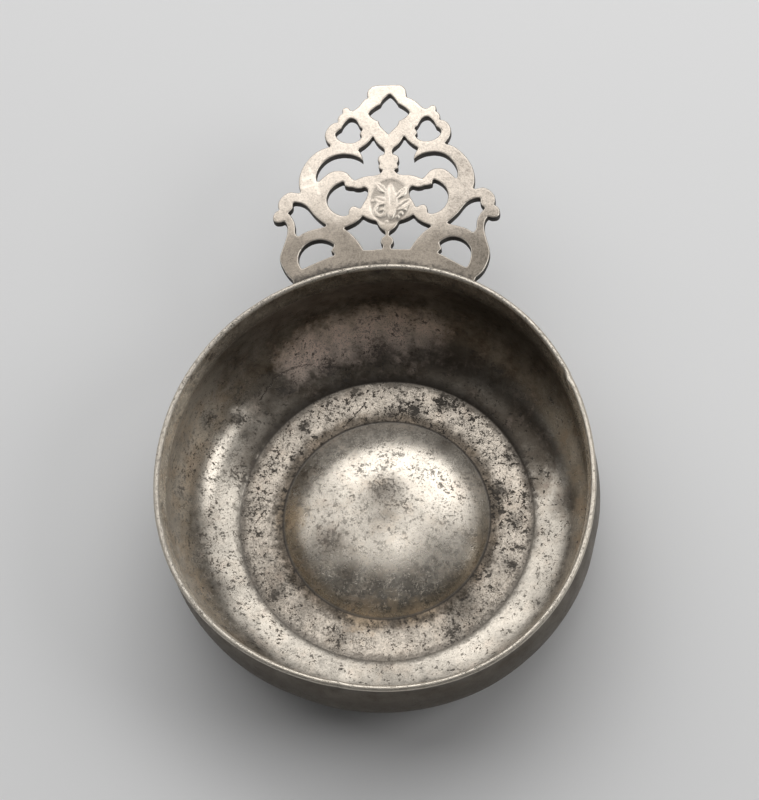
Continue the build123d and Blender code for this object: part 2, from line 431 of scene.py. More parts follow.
bowl = make_piece("turned_bowl", bowl_corners, bowl_faces)
print("bowl:", len(bowl.data.vertices), "corners")

# %% [markdown]
# ## The ear
#
# The ear is a flat casting whose edges have been filed and then worn round by two hundred
# years of thumbs. A bevel would have to cope with dozens of corners that nearly touch, so
# the solid's mesh is rebuilt from small cubes instead, a voxel remesh, and smoothed a few
# times. That rounds every edge alike, inside the piercings too, as wear does.

# %% Rebuild a solid's mesh with rounded edges
weld_gap = 0.002 * mm
smoothing = 0.5


def rounded_copy(node, name, grain, passes):
    """A copy of a solid's mesh, remeshed at a grain and smoothed so that its edges round."""
    copy = bpy.data.objects.new(name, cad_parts[node].data.copy())
    bpy.context.scene.collection.objects.link(copy)
    welded = bmesh.new()
    welded.from_mesh(copy.data)
    bmesh.ops.remove_doubles(welded, verts=welded.verts, dist=weld_gap)
    welded.to_mesh(copy.data)
    welded.free()
    remesh = copy.modifiers.new("remesh", "REMESH")
    remesh.mode = "VOXEL"
    remesh.voxel_size = grain
    smooth = copy.modifiers.new("smooth", "SMOOTH")
    smooth.factor = smoothing
    smooth.iterations = passes
    bpy.context.view_layer.update()
    built = bpy.data.meshes.new_from_object(copy.evaluated_get(bpy.context.evaluated_depsgraph_get()))
    bpy.data.objects.remove(copy)
    built.materials.clear()
    built.shade_smooth()
    piece = bpy.data.objects.new(name, built)
    bpy.context.scene.collection.objects.link(piece)
    return piece


def corners_of(piece):
    """The corners of a piece's mesh as an array."""
    flat = np.empty(len(piece.data.vertices) * 3)
    piece.data.vertices.foreach_get("co", flat)
    return flat.reshape(-1, 3)


def set_corners(piece, corners):
    """Write an array back as the corners of a piece's mesh."""
    piece.data.vertices.foreach_set("co", corners.ravel())
    piece.data.update()


ear = rounded_copy("ear", "pierced_ear", 0.24 * mm, 6)
print("ear:", len(ear.data.vertices), "corners")

# %% [markdown]
# ## What the mould and the years did to the ear
#
# The solid ear is the same left and right. The real one leans a little to the right near its
# root, its right side stands slightly higher up the picture, and its finial is fuller
# on the left. Its root also follows the wall, which isn't round. All of it is done by moving
# corners: each rule gives a shift for a place on the ear and fades out smoothly, so that no
# edge breaks.

# %% Lean the ear and seat its root on the wall
ear_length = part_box("ear")[1].y - lip_radius
ear_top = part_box("ear")[1].z
root_lean = 0.75 * mm
side_climb = 0.025
finial_push = 1.1 * mm
finial_trim = 0.8 * mm
left_swell = 1.1 * mm
root_follow = 9 * mm

# From where to where along the ear each move grows or fades: 0 is its root and 1 its tip
root_span = (0, 0.1)
lean_span = (0.3, 0.8)
swell_span = (0.68, 0.8)
push_span = (0.88, 0.94)
trim_span = (0.90, 0.96)


def settle_on_wall(corners):
    """Move what is close to the wall along with the wall's own unevenness."""
    angle, radius, out = around(corners)
    push = wall_push(angle, corners[:, 2])
    push = push * (1 - smooth_share(radius, lip_radius, lip_radius + root_follow))
    return corners + out * push[:, None]


def lean_ear(corners):
    """Take the ear from the drawn shape to the real casting's."""
    across = corners[:, 0]
    along = (corners[:, 1] - lip_radius) / ear_length
    grown = smooth_share(along, *root_span)
    left = smooth_share(-across, 0, 5 * mm)
    far_left = smooth_share(-across, 13 * mm, 24 * mm)
    right = smooth_share(across, 1 * mm, 5 * mm)
    moved = corners.copy()
    moved[:, 0] += root_lean * grown * (1 - smooth_share(along, *lean_span))
    moved[:, 1] += side_climb * across * grown
    moved[:, 0] -= finial_push * left * smooth_share(along, *push_span)
    moved[:, 0] -= finial_trim * right * smooth_share(along, *trim_span)
    moved[:, 0] -= left_swell * far_left * grown * (1 - smooth_share(along, *swell_span))
    return moved


ear_corners = settle_on_wall(lean_ear(corners_of(ear)))
print("ear reaches", round(float(ear_corners[:, 1].max()) / mm, 1), "mm")

# %% [markdown]
# ## The worn device on the ear's shield
#
# The shield in the middle of the ear carries a low relief, cast with the ear and worn
# down. Here it is a plain sprig: a few broad leaves, one thick curl and some berries,
# as uneven as the real casting. It could be a bump in the material, but then its edges
# would catch no light from the side, so it is raised and sunk in the mesh itself.

# %% The parts of the sprig
# Each leaf: where it starts, its heading, its length and half its width
leaves_mm = [
    (0.4, -6.6, 92, 12.4, 2.3),
    (1.7, -3.4, 38, 5.8, 1.8),
    (-0.6, -1.2, 152, 5.0, 1.6),
    (1.9, 0.4, 52, 5.0, 1.5),
    (-1.2, 2.4, 132, 4.4, 1.3),
]
leaf_fullness = 0.8
rib_depth = 0.6

# The tendril and the berries: the middle and the reach
tendril_mm = (-2.6, -3.6, 3.3)
tendril_turns = 1.6
berries_mm = [
    (4.6, -3.2, 0.8), (3.4, -4.4, 0.9), (2.4, -5.6, 0.8),
    (-1.0, -7.2, 0.8), (-5.4, 0.0, 0.8), (4.9, -1.6, 0.7),
]
print(len(leaves_mm), "leaves and", len(berries_mm), "berries")

# %% How high each part stands, from 0 to 1
def leaf_height(across, upward, leaf):
    """The height of one pointed leaf with a sunk midrib, from 0 to 1."""
    start_x, start_y, heading, length, half_width = leaf
    turn = radians(heading)
    along = ((across - start_x) * np.cos(turn) + (upward - start_y) * np.sin(turn)) / length
    side = (-(across - start_x) * np.sin(turn) + (upward - start_y) * np.cos(turn)) / half_width
    width = np.sin(np.clip(along, 0, 1) * pi) ** leaf_fullness
    body = 1 - smooth_share(np.abs(side), 0.72 * width, width + 0.02)
    rib = rib_depth * (1 - smooth_share(np.abs(side), 0.06, 0.26))
    return np.where((along > 0) & (along < 1), body - rib * body, 0)


def tendril_height(across, upward):
    """The height of the curled tendril: a spiral line of a turn and a half."""
    middle_x, middle_y, reach = tendril_mm
    away = np.hypot(across - middle_x, upward - middle_y)
    angle = np.arctan2(upward - middle_y, middle_x - across)
    winding = (angle / (2 * pi)) % 1.0
    distance = np.full(len(across), np.inf)
    for turns in (winding, winding + 1):
        gap = np.abs(away - reach * turns / tendril_turns)
        distance = np.minimum(distance, np.where(turns < tendril_turns, gap, np.inf))
    return 1 - smooth_share(distance, 0.4, 0.8)


def berry_height(across, upward, berry):
    """The height of one round berry."""
    middle_x, middle_y, reach = berry
    return 1 - smooth_share(np.hypot(across - middle_x, upward - middle_y), 0.3 * reach, reach)


print("a berry's top stands at", float(berry_height(0, 0, (0, 0, 1))))

# %% Raise the sprig
shield_middle = Vector((0.6 * mm, lip_radius + 0.372 * ear_length))
shield_reach = 7.2 * mm
shield_sink = 0.22 * mm
relief_rise = 0.38 * mm
relief_wear_size = 3.5 * mm

# The sunk field: narrower and longer than a circle, and a little lower
field_narrower = 1.08
field_longer = 0.9
field_drop_mm = 0.5


def raise_relief(corners, drawn):
    """Sink the shield's field a little and raise the sprig on it, on the top face alone."""
    across = (drawn[:, 0] - shield_middle.x) / mm
    upward = (drawn[:, 1] - shield_middle.y) / mm
    away = np.hypot(across * field_narrower, upward * field_longer + field_drop_mm) * mm
    on_top = smooth_share(drawn[:, 2], ear_top - 0.5 * mm, ear_top - 0.2 * mm)
    field = 1 - smooth_share(away, 0.84 * shield_reach, 1.02 * shield_reach)
    shapes = [tendril_height(across, upward)]
    shapes += [leaf_height(across, upward, leaf) for leaf in leaves_mm]
    shapes += [berry_height(across, upward, berry) for berry in berries_mm]
    worn = np.array([0.75 + 0.7 * ripple(point, relief_wear_size, 3) for point in drawn])
    rise = relief_rise * np.maximum.reduce(shapes) * np.clip(worn, 0.3, 1.1)
    raised = corners.copy()
    raised[:, 2] += (rise - shield_sink) * field * on_top
    return raised


drawn_corners = corners_of(ear)
ear_corners = raise_relief(ear_corners, drawn_corners)
from_shield = np.hypot(*(drawn_corners[:, :2] - shield_middle).T)
print("relief on", int((from_shield < shield_reach).sum()), "corners")

# %% Let the ear's faces swell a little, as a casting's do
swell_height = 0.05 * mm
swell_size = 9 * mm
dimple_height = 0.018 * mm
dimple_size = 1.6 * mm

for i, corner in enumerate(drawn_corners):
    ear_corners[i, 2] += swell_height * ripple(corner, swell_size, 11)
    ear_corners[i, 2] += dimple_height * ripple(corner, dimple_size, 5)
set_corners(ear, ear_corners)
print("ear's top at", round(float(ear_corners[:, 2].max()) / mm, 2), "mm")

# %% [markdown]
# ## The bracket and the solder
#
# Below the ear a small tongue rests on the wall, and fused metal fills the corners where
# ear and wall meet. Both were run in hot and cleaned up with a scraper, so they are a little
# lumpy. The same rounding serves, with a coarser wobble on top.

# %% Round and roughen the small pieces
lump_size = 2.5 * mm


def lumpy_copy(node, name, grain, passes, lump):
    """A rounded copy of a solid, uneven by about one lump."""
    piece = rounded_copy(node, name, grain, passes)
    corners = corners_of(piece)
    moved = settle_on_wall(corners)
    for i, corner in enumerate(corners):
        wobble = ripple(corner, lump_size, 17)
        moved[i] += lump * wobble * Vector((corner[0], corner[1], 0)).normalized()
    set_corners(piece, moved)
    print(name, len(corners), "corners")
    return piece


bracket = lumpy_copy("ear_bracket", "bracket_tongue", 0.25 * mm, 6, 0.08 * mm)
solder = lumpy_copy("seam_solder", "run_solder", 0.1 * mm, 3, 0.05 * mm)

# %% [markdown]
# ## Writing materials as sums
#
# A material in Blender is a web of nodes. Written out link by link, even a short sum takes a
# dozen lines. Here one small class holds a socket and knows what plus, minus, times and so on
# mean: each adds its Math node. One other class owns the material and adds every other node
# by the same method, so that a finish below reads like a recipe.

# %% A value on its way through a material
class Wire:
    """An output socket of a material. Sums with it add Math nodes."""

    def __init__(self, recipe, socket):
        self.recipe = recipe
        self.socket = socket

    def math(self, operation, *values):
        settings = {"operation": operation}
        return self.recipe.add("ShaderNodeMath", settings, dict(enumerate(values)))

    def __add__(self, other):
        return self.math("ADD", self, other)

    def __radd__(self, other):
        return self.math("ADD", other, self)

    def __sub__(self, other):
        return self.math("SUBTRACT", self, other)

    def __rsub__(self, other):
        return self.math("SUBTRACT", other, self)

    def __mul__(self, other):
        return self.math("MULTIPLY", self, other)

    def __rmul__(self, other):
        return self.math("MULTIPLY", other, self)

    def __truediv__(self, other):
        return self.math("DIVIDE", self, other)

    def __pow__(self, other):
        return self.math("POWER", self, other)

    def larger(self, other):
        return self.math("MAXIMUM", self, other)

    def smaller(self, other):
        return self.math("MINIMUM", self, other)

    def clamped(self):
        return self.larger(0.0).smaller(1.0)

    def unsigned(self):
        return self.math("ABSOLUTE", self)

    def beside(self, output):
        """Another output of the same node."""
        return Wire(self.recipe, self.socket.node.outputs[output])


print("wires add up to Math nodes")

# %% A material as a recipe
class Recipe:
    """A material under way. Places on it are in millimetres."""

    def __init__(self, name):
        self.material = bpy.data.materials.new(name)
        self.material.use_nodes = True
        self.tree = self.material.node_tree
        self.tree.nodes.clear()
        self.place = self.scaled(self.add("ShaderNodeTexCoord", output="Object"), 1 / mm)
        self.x = self.add("ShaderNodeSeparateXYZ", inputs={0: self.place})
        self.y = self.x.beside("Y")
        self.z = self.x.beside("Z")

    def add(self, kind, settings=None, inputs=None, output=0):
        """Add a node: its settings first, then the values or links of its sockets."""
        node = self.tree.nodes.new(kind)
        for key, value in (settings or {}).items():
            setattr(node, key, value)
        for key, value in (inputs or {}).items():
            if isinstance(value, Wire):
                self.tree.links.new(value.socket, node.inputs[key])
            else:
                node.inputs[key].default_value = value
        return Wire(self, node.outputs[output]) if len(node.outputs) else None

    def vector_math(self, operation, first, second, output="Vector"):
        inputs = {0: first, "Scale" if operation == "SCALE" else 1: second}
        return self.add("ShaderNodeVectorMath", {"operation": operation}, inputs, output)

    def scaled(self, vector, factor):
        return self.vector_math("SCALE", vector, factor)

    def moved(self, vector, other):
        return self.vector_math("ADD", vector, other)

    def along(self, vector, direction):
        """How far a vector goes in a direction."""
        return self.vector_math("DOT_PRODUCT", vector, direction, "Value")

    def away_from(self, point, where):
        """How many millimetres a place is away from a point given in metres."""
        return self.vector_math("DISTANCE", where, tuple(Vector(point) / mm), "Value")

    def from_axis(self):
        """Distance from the bowl's axis."""
        return (self.x * self.x + self.y * self.y) ** 0.5

    def normal(self):
        return self.add("ShaderNodeNewGeometry", output="Normal")

    def noise(self, size, detail, rough, seed, where=None, output=0):
        """Cloudy noise from 0 to 1, over lengths of about one size. Each seed has its own clouds."""
        aside = (seed * 37.0, seed * 23.0, 0)
        inputs = {
            "Vector": self.moved(where or self.place, aside), "Scale": 1 / size,
            "Detail": detail, "Roughness": rough,
        }
        return self.add("ShaderNodeTexNoise", inputs=inputs, output=output)

    def step(self, value, low, high):
        """0 below low, 1 above high, and a smooth climb between them."""
        inputs = {"Value": value, "From Min": low, "From Max": high}
        return self.add("ShaderNodeMapRange", {"interpolation_type": "SMOOTHSTEP"}, inputs)

    def blend(self, first, second, factor):
        """From the first colour to the second, as the factor goes from 0 to 1."""
        return self.add("ShaderNodeMix", {"data_type": "RGBA"}, {0: factor, 6: first, 7: second}, 2)

    def bumped(self, relief):
        """The normal over a relief in millimetres."""
        inputs = {"Height": relief, "Strength": 1.0, "Distance": 1 * mm}
        return self.add("ShaderNodeBump", inputs=inputs, output="Normal")

    def surface(self, inputs):
        """End the recipe with its shader, and give back the material."""
        shader = self.add("ShaderNodeBsdfPrincipled", inputs=inputs)
        self.add("ShaderNodeOutputMaterial", inputs={"Surface": shader})
        return self.material


print("materials are written as recipes")

# %% [markdown]
# ## Blotches, strokes and cracks
#
# Old pewter is marked in two ways. Some marks have a place of their own: blotches, stains and
# scratches. They are told by how far a spot is from a point or from a short line. Others are
# scattered: hair cracks run along the borders between the cells of a Voronoi texture, broken
# up by a noise. An image could carry all that too, but it would blur close up, and this
# stays sharp at any size.

# %% Masks for marks
def strongest(masks):
    """The highest of several masks at each place."""
    top = masks[0]
    for mask in masks[1:]:
        top = top.larger(mask)
    return top


def nearness(recipe, place, marks):
    """1 in the middle of a mark, falling to 0 at its reach. A mark: point, reach, strength."""
    return strongest([
        (1 - recipe.away_from(point, place) / reach) * strength for point, reach, strength in marks
    ]).larger(0.0)


def facing_at(point):
    """The way the bowl's inner face looks at a point on the floor or the booge."""
    radius = hypot(point[0], point[1])
    if radius < crease_radius:
        return Vector((0, 0, 1))
    inward = (foot_radius - radius) / booge_run**2 / radius
    upward = (belly_level - point[2]) / booge_rise**2
    return Vector((point[0] * inward, point[1] * inward, upward)).normalized()


def stroke(recipe, place, start, end, width):
    """A thin line from one point of the inner face to another."""
    start_mm = Vector(start) / mm
    line = Vector(end) / mm - start_mm
    from_start = recipe.moved(place, -start_mm)
    along = recipe.along(from_start, line.normalized())
    past_ends = along - along.larger(0.0).smaller(line.length)
    beside = recipe.along(from_start, line.cross(facing_at(start)).normalized())
    gap = beside.unsigned() + past_ends.unsigned()
    return 1 - recipe.step(gap, width * 0.2, width)


def hair_cracks(recipe, place, spacing, width):
    """Broken hair lines: the borders between cells, kept only where a noise is high."""
    inputs = {"Vector": place, "Scale": 1 / spacing}
    border = recipe.add("ShaderNodeTexVoronoi", {"feature": "DISTANCE_TO_EDGE"}, inputs, "Distance")
    kept = recipe.step(recipe.noise(1.7 * spacing, 2.0, 0.6, 9), 0.53, 0.59)
    return kept * (1 - recipe.step(border, width * 0.3, width))


print("marks are told by distance")

# %% Points on the bowl by angle, radius and height
def on_floor(degrees_round, radius_mm):
    """A point on the gutter or the dome, by its angle round the axis and its radius."""
    radius = radius_mm * mm
    level = floor_thickness
    if radius < dome_radius:
        level = dome_centre_level + dome_upward * sqrt(1 - (radius / dome_across) ** 2)
    turn = radians(degrees_round)
    return (radius * cos(turn), radius * sin(turn), level)


def on_wall(degrees_round, level_mm):
    """A point on the inner face of the wall, by its angle round the axis and its height."""
    turn = radians(degrees_round)
    radius = inner_radius_at(level_mm * mm)
    for again in range(8):
        radius = (radius + inner_radius_at(level_mm * mm - fill_at(radius))) / 2
    radius += float(wall_push(turn, level_mm * mm))
    return (radius * cos(turn), radius * sin(turn), level_mm * mm)


def placed(floor_rows, wall_rows):
    """Marks from rows of angle, radius or height, reach and strength."""
    marks = [(on_floor(turn, radius), reach, strength) for turn, radius, reach, strength in floor_rows]
    for turn, level, reach, strength in wall_rows:
        marks.append((on_wall(turn, level), reach, strength))
    return marks


print("a point on the wall:", [round(value / mm, 1) for value in on_wall(146, 7)])

# %% [markdown]
# ## Where the bowl is marked
#
# These are the marks that one would point out on this very bowl; some of them are painted
# shade, painted reflections and painted highlights rather than marks in the metal. Those on
# the bottom are placed by the angle round from +X and the radius, those on the wall by the
# angle and the height. Each has a reach in millimetres and a strength.

# %% Blotches and cracks
blotches = placed([
    (131.9, 40.2, 3.6, 0.9), (77.7, 36.1, 5.0, 0.8), (88, 35.2, 4.5, 0.6), (66, 41.5, 4.0, 0.8),
    (62, 43.6, 3.5, 0.7), (15.7, 36.0, 5.0, 0.9), (-0.9, 39.5, 4.2, 0.8), (-20.4, 41.4, 3.6, 1.0),
    (5, 33.5, 4.0, 0.7), (28, 43.5, 4.0, 0.7), (-143.8, 41.6, 4.5, 0.9), (105, 43.5, 4.0, 0.9),
    (-110, 41, 4.0, 0.7), (-60, 42, 4.0, 0.6), (80, 8, 7.0, 0.5), (200, 20, 7.0, 0.45),
    (-95, 13, 6.0, 0.4), (55.3, 30.3, 4.5, 0.8),
], [
    (111.7, 4.6, 4.2, 1.0), (107, 2.9, 2.4, 0.9), (94, 5.5, 6.0, 0.7), (91, 42.3, 4.5, 0.9),
    (128, 4.5, 6.0, 0.6), (153, 13, 4.5, 0.8), (146, 6.0, 3.4, 0.8), (176, 14, 4.0, 0.6),
    (-165, 9, 4.0, 0.6), (54, 7.5, 3.0, 0.7), (35, 12, 4.0, 0.6), (-30, 5, 3.0, 0.6),
    (-140, 18, 5.0, 0.6),
])
# Each crack: from where, to where and how wide
cracks = [
    (on_floor(101.8, 39.1), on_floor(107, 36.3), 0.34),
    (on_floor(107, 36.3), on_floor(115.3, 33.5), 0.28),
    (on_floor(177, 38.2), on_floor(182, 40.4), 0.26),
    (on_floor(175.5, 40.5), on_floor(179, 41.2), 0.24),
    (on_wall(137, 5.6), on_wall(130, 6.9), 0.30),
    (on_wall(130, 6.9), on_wall(123, 6.8), 0.32),
    (on_wall(123, 6.8), on_wall(116.1, 5.7), 0.26),
    (on_wall(17, 2.4), on_wall(15.5, 3.1), 0.3),
]
print(len(blotches), "blotches,", len(cracks), "strokes of cracks")

# %% Stains and reflections, darkened places and painted highlights
# Tan marks: stains on the wall, and on the dome's rim a painted reflection of the tan wall.
tan_stains_and_reflections = placed([
    (179, 28.5, 9.0, 0.9), (-100, 31.0, 12.0, 0.8), (-70, 31.0, 10.0, 0.7), (-85, 28.0, 8.0, 0.7),
], [
    (12, 9, 6.0, 1.0), (2, 9.5, 6.0, 1.0), (-8, 10.5, 6.0, 1.0), (-18, 12, 6.0, 0.9),
    (24, 9, 6.0, 0.8), (160, 20, 12.0, 0.6), (-160, 16, 12.0, 0.5),
])
# The pale pinkish crust along the far wall
scale_patches = placed([], [
    (120, 7.5, 10.0, 0.9), (113, 8.5, 12.0, 1.0), (105, 9, 12.0, 1.0), (97, 9.5, 12.0, 1.0),
    (89, 9.5, 12.0, 0.9), (80, 10, 12.0, 0.7),
])
# Places darkened towards grey. Some are stains; those on the dome's front and low on the booge are
# painted shade.
darkened_places = placed([
    (-152, 35.5, 8.0, 0.7), (-129, 35.5, 8.0, 0.7), (-106, 35.5, 8.0, 0.7), (-48, 36, 11.0, 0.8),
    (-52, 39, 8.0, 0.5), (-25, 38, 10.0, 0.3), (5, 39, 9.0, 0.4), (165, 36, 8.0, 0.3),
    (0, 1, 7.0, 0.55), (95, 8, 11.0, 0.75), (55, 30, 6.0, 0.7), (-147, 18, 10.0, 0.8),
    (-122, 22, 8.0, 0.9), (-95, 22, 9.0, 0.6), (-68, 22, 8.0, 0.5), (-155, 26, 9.0, 0.6),
    (-15, 28, 5.0, 0.6),
], [
    (157, 3.0, 9.0, 0.6), (172, 9, 7.0, 0.2), (-155, 5.5, 7.0, 0.5), (149, 4.0, 4.5, 0.8),
    (138, 3.5, 5.0, 0.6), (-130, 6, 7.0, 0.5), (70, 6, 14.0, 0.9), (95, 5, 9.0, 0.8),
    (-90, 3, 12.0, 0.5), (38, 4, 12.0, 0.9), (22, 4, 10.0, 0.9), (14, 3, 8.0, 0.9),
    (5, 5.5, 8.0, 1.0),
])
# Painted highlight: the tone is raised on the dome's lower middle and right and at the front of the
# gutter.
painted_highlights = placed([(-75, 12, 12.0, 0.6), (20, 20, 10.0, 0.15), (-88, 41, 8.0, 0.3)], [])
print(len(tan_stains_and_reflections), "stains,", len(darkened_places), "dull places")

# %% [markdown]
# ## The bowl's pewter: what it is mixed from
#
# Polished metal is one colour and very plain. What makes it old pewter is unevenness at every
# size, so a handful of noises comes first, from clouds as wide as a thumb down to dust. The
# same few serve for everything that follows, which also ties the layers together: one mottle
# shows in the colour, in the gloss and in the relief. A copy of the place is shaken by a
# noise, and nearly every mark that is told by distance gets its frayed border from it. The
# faint rings of the lathe are a noise that knows only radius and height.

# %% Noises for the bowl
pewter = Recipe("bowl_pewter")
shake_size = 1.6
ring_squeeze = 2

# Each noise: its size in millimetres, its detail, its roughness and its seed
clouds = pewter.noise(12.0, 3.0, 0.6, 1)
mottle = pewter.noise(2.6, 5.0, 0.68, 2)
grain = pewter.noise(0.8, 4.0, 0.72, 3)
dust = pewter.noise(0.36, 2.0, 0.6, 4)
hue = pewter.noise(7.0, 4.0, 0.62, 8)
cloudy = clouds - 0.5
ragged = mottle - 0.5
grainy = grain - 0.5
tinted = hue - 0.5

shake = pewter.noise(shake_size, 3.0, 0.65, 5, output="Color")
shaken = pewter.moved(pewter.place, (-shake_size, -shake_size, -shake_size))
shaken = pewter.moved(shaken, pewter.scaled(shake, 2 * shake_size))

radius = pewter.from_axis()
height = pewter.z
section_parts = {0: radius * ring_squeeze, 1: height * ring_squeeze}
in_section = pewter.add("ShaderNodeCombineXYZ", inputs=section_parts)
rings = pewter.noise(1.0, 1.0, 0.5, 6, in_section)
print("noises:", len(pewter.tree.nodes), "nodes")

# %% [markdown]
# ## Zones of the bowl
#
# The dome is rubbed by every spoon and the gutter hardly at all, so a finish has to know
# where on the bowl it is. Radius and height say that for a turned piece. The outside is told
# from the inside by the way the surface faces: away from the bowl's middle or towards
# it. Painting such zones by hand would be as good on one bowl, but it would have to be
# done again after every change of size.

# %% Zones by radius, height and side
neck_mm = neck_level / mm
lip_mm = lip_level / mm
crease_mm = crease_radius / mm
dome_mm = dome_radius / mm
leftward = pewter.x * -1.0
frontward = pewter.y * -1.0

beyond_dome = pewter.step(radius, dome_mm - 0.3, dome_mm + 0.3)
beyond_crease = pewter.step(radius, crease_mm - 0.2, crease_mm + 0.5)
dome = 1 - beyond_dome
gutter = beyond_dome * (1 - beyond_crease)
collar = pewter.step(height, neck_mm - 1.5, neck_mm + 1.5)
lip = pewter.step(height, lip_mm - 0.3, lip_mm + 0.5)
facing = pewter.along(pewter.place, pewter.normal())
below_lip = 1 - pewter.step(height, lip_mm - 1.2, lip_mm - 0.2)
outside = pewter.step(facing, 8.0, 20.0) * beyond_crease * below_lip
inside = 1 - outside
print("zones: dome to", round(dome_mm, 1), "gutter to", round(crease_mm, 1), "mm")

# %% Parts of those zones
back = pewter.step(pewter.y + cloudy * 20.0, 22.0, 46.0) * beyond_crease
front = pewter.step(frontward + cloudy * 20.0, 28.0, 56.0) * beyond_crease
front_wall = front * pewter.step(height, 6.0, 10.0) * (1 - pewter.step(height, 28.0, 36.0))
low_back = pewter.step(pewter.y + ragged * 20.0, 6.0, 26.0) * beyond_crease
low_back = low_back * (1 - pewter.step(height - pewter.x * 0.03, 3.5, 6.0))
low_wall = beyond_crease * (1 - pewter.step(height, 5.0, 11.0))
low_left = low_wall * pewter.step(frontward - pewter.x * 0.6, 22.0, 48.0)
left_inside = pewter.step(leftward, 28.0, 48.0) * inside
upper_left = pewter.step(height, 9.0, 17.0) * pewter.step(leftward, 20.0, 50.0) * inside
right_side = pewter.step(pewter.x, 40.0, 60.0)

from_dome_foot = (radius - dome_mm).unsigned() + ragged * 6.0
gutter_ring = gutter * (1 - pewter.step(from_dome_foot, 1.6, 6.2))
gutter_front = gutter * pewter.step(frontward - pewter.x * 0.5, 0.0, 26.0)
gutter_corners = gutter * pewter.step(frontward, 0.0, 14.0)
gutter_corners = gutter_corners * pewter.step(pewter.x.unsigned(), 12.0, 26.0)
dome_front = dome * pewter.step(radius + ragged * 6.0, 25.0, 30.0) * pewter.step(frontward, -12.0, 8.0)
dome_back = dome * pewter.step(radius, 22.0, 28.0) * pewter.step(pewter.y + pewter.x * 0.5, 0.0, 14.0)
dome_left = dome * pewter.step(leftward, 12.0, 22.0)
dome_crown = dome * (1 - pewter.step(radius, 5.0, 15.0))
print("zones and parts:", len(pewter.tree.nodes), "nodes")

# %% [markdown]
# ## Metal and films
#
# Bare pewter is a warm light grey. Over it lie thin films: tan clouds in the wall, and a brown one
# on the far wall and the outside, with a darker one low down at the back; the browns are partly
# tarnish and partly painted shade, and on the near wall the brown is painted shade under the lip.
# A grey ring in the gutter at the dome's foot is partly painted shade in that corner. Each is laid
# over the last by a Mix node. Light and dark come from one number, the tone, that the colour is
# multiplied by, so that one sum holds all the places that are a little brighter or darker, among
# them painted highlights and painted shade.

# %% Bare metal, darkened places and tone
dome_metal = (0.58, 0.53, 0.46, 1)
gutter_metal = (0.595, 0.53, 0.45, 1)
wall_metal = (0.64, 0.585, 0.505, 1)
olive_film = (0.60, 0.545, 0.45, 1)
ring_grey = (0.135, 0.113, 0.09, 1)
dome_rim_shade_brown = (0.20, 0.165, 0.12, 1)
tan_tint = (0.50, 0.38, 0.25, 1)
darkest_tone = 0.2
brightest_tone = 1.45

colour = pewter.blend(dome_metal, gutter_metal, beyond_dome)
colour = pewter.blend(colour, wall_metal, beyond_crease)
colour = pewter.blend(colour, olive_film, collar * 0.5)
# Painted shade in part: the darkened places, and the grey ring in the gutter round the dome's foot.
darkened = pewter.step(nearness(pewter, shaken, darkened_places) + ragged * 1.2, 0.0, 0.9)
colour = pewter.blend(colour, ring_grey, gutter_ring.larger(darkened * 0.8))
# Painted shade and reflection: the dome's near rim is turned brown.
colour = pewter.blend(colour, dome_rim_shade_brown, dome_front * 0.75)
warm = pewter.step(hue, 0.46, 0.66) * (pewter.step(height, 6.0, 14.0) * 0.35 + 0.12)
colour = pewter.blend(colour, tan_tint, warm)

tone = cloudy * 0.9 + ragged * (gutter * 0.7 + 1.0) + grainy * (gutter * 1.4 + 0.9) + 1.0
# Painted highlight where the tone is raised.
tone = tone + nearness(pewter, pewter.place, painted_highlights)
# Darker by zone: on the near wall this is painted shade under the lip; the low wall, the near gutter
# and the dome's crown and left are only made darker.
for zone, loss in (
    (front, 0.12), (low_wall, 0.15), (low_left, 0.25), (gutter_front, 0.18), (gutter_corners, 0.2),
    (dome_crown, 0.17), (dome_left, 0.15),
):
    tone = tone - zone * loss
colour = pewter.scaled(colour, tone.larger(darkest_tone).smaller(brightest_tone))
print("bare metal:", len(pewter.tree.nodes), "nodes")

# %% Stains and reflections, crust, and brown film with painted shade
brown_film_and_shade = (0.09, 0.07, 0.05, 1)
dark_film_and_shade = (0.035, 0.029, 0.023, 1)
scale_pink = (0.88, 0.70, 0.60, 1)

# Tan marks: stains on the wall, and a painted reflection of the wall on the dome's rim.
tan = pewter.step(nearness(pewter, shaken, tan_stains_and_reflections) + ragged * 1.6, 0.25, 0.8)
colour = pewter.blend(colour, tan_tint, tan * 0.5)
scale = nearness(pewter, shaken, scale_patches) + (ragged + tinted) * 0.8
scale = pewter.step(scale, 0.0, 1.0)
# Brown film on the far wall, low at the back and on the near wall: partly tarnish, partly painted
# shade; on the near wall it is painted shade under the lip.
film_and_shade_mask = strongest([back, low_back, front_wall * 0.85]) * (1 - scale * 0.95) * (tinted + 0.86).clamped()
colour = pewter.blend(colour, brown_film_and_shade, film_and_shade_mask)
colour = pewter.blend(colour, dark_film_and_shade, low_back * 0.5)
colour = pewter.blend(colour, scale_pink, scale * (grainy * 2.5 + 0.95).clamped())
print("films:", len(pewter.tree.nodes), "nodes")

# %% [markdown]
# ## Pits
#
# Pewter is eaten by pits, from dust to flakes a millimetre wide, crowded in some places and
# rare in others. A pit is where a noise rises above a level, like an island in a flooded
# landscape: the coarser the noise, the larger the pit, and its outline is ragged by itself.
# Adding a little to the noise where more pits are wanted brings more of it above the
# level. Cells of a Voronoi texture would make rounder pits, which look drilled.

# %% Pits of four sizes, blotches and cracks
def peaks(noise, level, soft=0.04):
    """1 where a noise rises above a level."""
    return pewter.step(noise, level, level + soft)


crowd = pewter.step(pewter.noise(5.5, 2.0, 0.6, 7), 0.36, 0.66)
field = nearness(pewter, shaken, blotches)
wanted = crowd * 0.05 + field * 0.10 + scale * 0.05 + left_inside * 0.03
wanted = wanted + gutter * 0.028 + dome * 0.025 - gutter_front * 0.02

